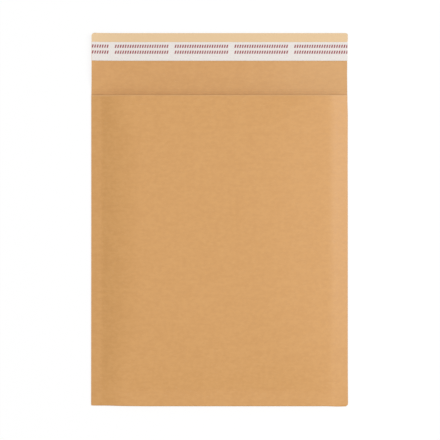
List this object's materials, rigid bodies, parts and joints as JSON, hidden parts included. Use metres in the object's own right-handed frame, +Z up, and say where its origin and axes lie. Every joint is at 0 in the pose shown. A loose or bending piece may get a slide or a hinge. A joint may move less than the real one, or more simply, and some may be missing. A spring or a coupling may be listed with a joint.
{
  "type": "padded envelope",
  "caption": "Flat kraft paper mailing envelope with a bubble film lining, pressed side seams, a folded bottom and an open flap that carries a peel-off liner over its glue strip.",
  "frame": {"origin": "on the surface that the envelope lies on, under the middle of its outline with the flap open", "axes": "+X across the envelope to its right, +Y from the bottom fold towards the tip of the flap, +Z up through the front panel"},
  "size_m": [0.24, 0.35, 0.0093],
  "materials": {
    "kraft": "brown machine-finished kraft paper with fine fibres",
    "film": "milky bubble film",
    "glue": "clear amber hot-melt glue",
    "liner": "white coated release paper with small red marks"
  },
  "bodies": {
    "root": {"kraft_envelope": "kraft", "bubble_lining": "film", "adhesive_strip": "glue", "release_liner": "liner"}
  },
  "joints": []
}
